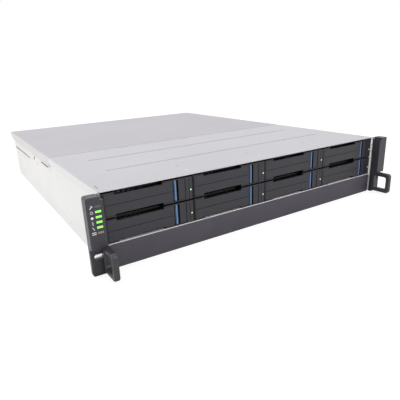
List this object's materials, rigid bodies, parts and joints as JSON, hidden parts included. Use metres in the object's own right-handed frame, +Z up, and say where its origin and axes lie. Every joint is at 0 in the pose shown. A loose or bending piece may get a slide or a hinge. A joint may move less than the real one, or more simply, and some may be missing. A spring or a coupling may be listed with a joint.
{
  "type": "storage array",
  "caption": "Two-unit rack storage enclosure with hot-swap drive trays on swing levers, slide-out rear modules, ear handles and a sliding rear cover.",
  "frame": {"origin": "under the middle of the whole object, on the plane it stands on", "axes": "+X to the right seen from the front, +Y from the front to the rear, +Z up"},
  "size_m": [0.4826, 0.6068, 0.0882],
  "materials": {
    "sheet_steel": "galvanised, satin",
    "cover_steel": "galvanised, satin",
    "front_plastic": "fine moulded texture",
    "panel_plastic": "fine moulded texture",
    "ear_plastic": "fine moulded texture",
    "handle_metal": "satin black",
    "latch_blue": "satin",
    "drive_metal": "cast, satin",
    "board_green": "solder mask",
    "socket_black": "moulded",
    "screw_steel": "bright",
    "light_clear": "lit",
    "button_plastic": "moulded",
    "module_steel": "galvanised, satin",
    "module_lever": "moulded",
    "rotor_black": "moulded"
  },
  "bodies": {
    "chassis": {"chassis_tub": "sheet_steel", "module_frame": "sheet_steel", "front_cover": "cover_steel", "chassis_screws": "screw_steel", "drive_cage": "sheet_steel", "backplane": "board_green", "backplane_sockets": "socket_black", "lower_panel": "panel_plastic", "left_ear_cap": "ear_plastic", "right_ear_cap": "ear_plastic", "ear_brackets": "sheet_steel", "front_handles": "handle_metal", "indicator_board": "board_green", "light_guides": "light_clear"},
    "rear_cover": {"rear_cover": "cover_steel"},
    "mute_button": {"mute_button": "button_plastic"},
    "left_power_module": {"left_power_module": "module_steel"},
    "left_fan_rotor": {"left_fan_rotor": "rotor_black"},
    "left_power_lever": {"left_power_lever": "module_lever"},
    "right_power_module": {"right_power_module": "module_steel"},
    "right_fan_rotor": {"right_fan_rotor": "rotor_black"},
    "right_power_lever": {"right_power_lever": "module_lever"},
    "lower_controller": {"lower_controller": "module_steel"},
    "lower_left_controller_lever": {"lower_left_controller_lever": "module_lever"},
    "lower_right_controller_lever": {"lower_right_controller_lever": "module_lever"},
    "upper_controller": {"upper_controller": "module_steel"},
    "upper_left_controller_lever": {"upper_left_controller_lever": "module_lever"},
    "upper_right_controller_lever": {"upper_right_controller_lever": "module_lever"},
    "tray_1": {"drive_tray_1": "front_plastic", "hard_drive_1": "drive_metal"},
    "lever_1": {"tray_lever_1": "front_plastic"},
    "latch_1": {"tray_latch_1": "latch_blue"},
    "tray_2": {"drive_tray_2": "front_plastic", "hard_drive_2": "drive_metal"},
    "lever_2": {"tray_lever_2": "front_plastic"},
    "latch_2": {"tray_latch_2": "latch_blue"},
    "tray_3": {"drive_tray_3": "front_plastic", "hard_drive_3": "drive_metal"},
    "lever_3": {"tray_lever_3": "front_plastic"},
    "latch_3": {"tray_latch_3": "latch_blue"},
    "tray_4": {"drive_tray_4": "front_plastic", "hard_drive_4": "drive_metal"},
    "lever_4": {"tray_lever_4": "front_plastic"},
    "latch_4": {"tray_latch_4": "latch_blue"},
    "tray_5": {"drive_tray_5": "front_plastic", "hard_drive_5": "drive_metal"},
    "lever_5": {"tray_lever_5": "front_plastic"},
    "latch_5": {"tray_latch_5": "latch_blue"},
    "tray_6": {"drive_tray_6": "front_plastic", "hard_drive_6": "drive_metal"},
    "lever_6": {"tray_lever_6": "front_plastic"},
    "latch_6": {"tray_latch_6": "latch_blue"},
    "tray_7": {"drive_tray_7": "front_plastic", "hard_drive_7": "drive_metal"},
    "lever_7": {"tray_lever_7": "front_plastic"},
    "latch_7": {"tray_latch_7": "latch_blue"},
    "tray_8": {"drive_tray_8": "front_plastic", "hard_drive_8": "drive_metal"},
    "lever_8": {"tray_lever_8": "front_plastic"},
    "latch_8": {"tray_latch_8": "latch_blue"}
  },
  "joints": [
    {"name": "rear_cover_slide", "type": "slide", "parent": "chassis", "child": "rear_cover", "axis": [0, 1, 0], "range_m": [0, 0.02]},
    {"name": "mute_button_press", "type": "slide", "parent": "chassis", "child": "mute_button", "axis": [0, 1, 0], "range_m": [0, 0.0008], "stiffness_N_per_m": 300},
    {"name": "left_power_slide", "type": "slide", "parent": "chassis", "child": "left_power_module", "axis": [0, 1, 0], "range_m": [0, 0.325]},
    {"name": "left_fan_spin", "type": "hinge", "parent": "left_power_module", "child": "left_fan_rotor", "pos_m": [-0.1849, 0.26935, 0.0479], "axis": [0, 1, 0], "continuous": true},
    {"name": "left_power_lever_swing", "type": "hinge", "parent": "left_power_module", "child": "left_power_lever", "pos_m": [-0.1264, 0.28255, 0.0116], "axis": [0, 0, -1], "range_deg": [0, 75]},
    {"name": "right_power_slide", "type": "slide", "parent": "chassis", "child": "right_power_module", "axis": [0, 1, 0], "range_m": [0, 0.325]},
    {"name": "right_fan_spin", "type": "hinge", "parent": "right_power_module", "child": "right_fan_rotor", "pos_m": [0.1539, 0.26935, 0.0479], "axis": [0, 1, 0], "continuous": true},
    {"name": "right_power_lever_swing", "type": "hinge", "parent": "right_power_module", "child": "right_power_lever", "pos_m": [0.2124, 0.28255, 0.0116], "axis": [0, 0, -1], "range_deg": [0, 75]},
    {"name": "lower_controller_slide", "type": "slide", "parent": "chassis", "child": "lower_controller", "axis": [0, 1, 0], "range_m": [0, 0.325]},
    {"name": "lower_left_controller_lever_swing", "type": "hinge", "parent": "lower_controller", "child": "lower_left_controller_lever", "pos_m": [-0.1084, 0.28255, 0.0096], "axis": [0, 0, 1], "range_deg": [0, 75]},
    {"name": "lower_right_controller_lever_swing", "type": "hinge", "parent": "lower_controller", "child": "lower_right_controller_lever", "pos_m": [0.1084, 0.28255, 0.0096], "axis": [0, 0, -1], "range_deg": [0, 75]},
    {"name": "upper_controller_slide", "type": "slide", "parent": "chassis", "child": "upper_controller", "axis": [0, 1, 0], "range_m": [0, 0.325]},
    {"name": "upper_left_controller_lever_swing", "type": "hinge", "parent": "upper_controller", "child": "upper_left_controller_lever", "pos_m": [-0.1084, 0.28255, 0.052], "axis": [0, 0, 1], "range_deg": [0, 75]},
    {"name": "upper_right_controller_lever_swing", "type": "hinge", "parent": "upper_controller", "child": "upper_right_controller_lever", "pos_m": [0.1084, 0.28255, 0.052], "axis": [0, 0, -1], "range_deg": [0, 75]},
    {"name": "tray_1_slide", "type": "slide", "parent": "chassis", "child": "tray_1", "axis": [0, -1, 0], "range_m": [0, 0.2]},
    {"name": "tray_1_lever_swing", "type": "hinge", "parent": "tray_1", "child": "lever_1", "pos_m": [-0.2168, -0.26215, 0.0713], "axis": [0, 0, -1], "range_deg": [0, 60]},
    {"name": "tray_1_latch_slide", "type": "slide", "parent": "tray_1", "child": "latch_1", "axis": [1, 0, 0], "range_m": [0, 0.0018], "stiffness_N_per_m": 200},
    {"name": "tray_2_slide", "type": "slide", "parent": "chassis", "child": "tray_2", "axis": [0, -1, 0], "range_m": [0, 0.2]},
    {"name": "tray_2_lever_swing", "type": "hinge", "parent": "tray_2", "child": "lever_2", "pos_m": [-0.1059, -0.26215, 0.0713], "axis": [0, 0, -1], "range_deg": [0, 60]},
    {"name": "tray_2_latch_slide", "type": "slide", "parent": "tray_2", "child": "latch_2", "axis": [1, 0, 0], "range_m": [0, 0.0018], "stiffness_N_per_m": 200},
    {"name": "tray_3_slide", "type": "slide", "parent": "chassis", "child": "tray_3", "axis": [0, -1, 0], "range_m": [0, 0.2]},
    {"name": "tray_3_lever_swing", "type": "hinge", "parent": "tray_3", "child": "lever_3", "pos_m": [0.005, -0.26215, 0.0713], "axis": [0, 0, -1], "range_deg": [0, 60]},
    {"name": "tray_3_latch_slide", "type": "slide", "parent": "tray_3", "child": "latch_3", "axis": [1, 0, 0], "range_m": [0, 0.0018], "stiffness_N_per_m": 200},
    {"name": "tray_4_slide", "type": "slide", "parent": "chassis", "child": "tray_4", "axis": [0, -1, 0], "range_m": [0, 0.2]},
    {"name": "tray_4_lever_swing", "type": "hinge", "parent": "tray_4", "child": "lever_4", "pos_m": [0.1159, -0.26215, 0.0713], "axis": [0, 0, -1], "range_deg": [0, 60]},
    {"name": "tray_4_latch_slide", "type": "slide", "parent": "tray_4", "child": "latch_4", "axis": [1, 0, 0], "range_m": [0, 0.0018], "stiffness_N_per_m": 200},
    {"name": "tray_5_slide", "type": "slide", "parent": "chassis", "child": "tray_5", "axis": [0, -1, 0], "range_m": [0, 0.2]},
    {"name": "tray_5_lever_swing", "type": "hinge", "parent": "tray_5", "child": "lever_5", "pos_m": [-0.2168, -0.26215, 0.0424], "axis": [0, 0, -1], "range_deg": [0, 60]},
    {"name": "tray_5_latch_slide", "type": "slide", "parent": "tray_5", "child": "latch_5", "axis": [1, 0, 0], "range_m": [0, 0.0018], "stiffness_N_per_m": 200},
    {"name": "tray_6_slide", "type": "slide", "parent": "chassis", "child": "tray_6", "axis": [0, -1, 0], "range_m": [0, 0.2]},
    {"name": "tray_6_lever_swing", "type": "hinge", "parent": "tray_6", "child": "lever_6", "pos_m": [-0.1059, -0.26215, 0.0424], "axis": [0, 0, -1], "range_deg": [0, 60]},
    {"name": "tray_6_latch_slide", "type": "slide", "parent": "tray_6", "child": "latch_6", "axis": [1, 0, 0], "range_m": [0, 0.0018], "stiffness_N_per_m": 200},
    {"name": "tray_7_slide", "type": "slide", "parent": "chassis", "child": "tray_7", "axis": [0, -1, 0], "range_m": [0, 0.2]},
    {"name": "tray_7_lever_swing", "type": "hinge", "parent": "tray_7", "child": "lever_7", "pos_m": [0.005, -0.26215, 0.0424], "axis": [0, 0, -1], "range_deg": [0, 60]},
    {"name": "tray_7_latch_slide", "type": "slide", "parent": "tray_7", "child": "latch_7", "axis": [1, 0, 0], "range_m": [0, 0.0018], "stiffness_N_per_m": 200},
    {"name": "tray_8_slide", "type": "slide", "parent": "chassis", "child": "tray_8", "axis": [0, -1, 0], "range_m": [0, 0.2]},
    {"name": "tray_8_lever_swing", "type": "hinge", "parent": "tray_8", "child": "lever_8", "pos_m": [0.1159, -0.26215, 0.0424], "axis": [0, 0, -1], "range_deg": [0, 60]},
    {"name": "tray_8_latch_slide", "type": "slide", "parent": "tray_8", "child": "latch_8", "axis": [1, 0, 0], "range_m": [0, 0.0018], "stiffness_N_per_m": 200}
  ]
}
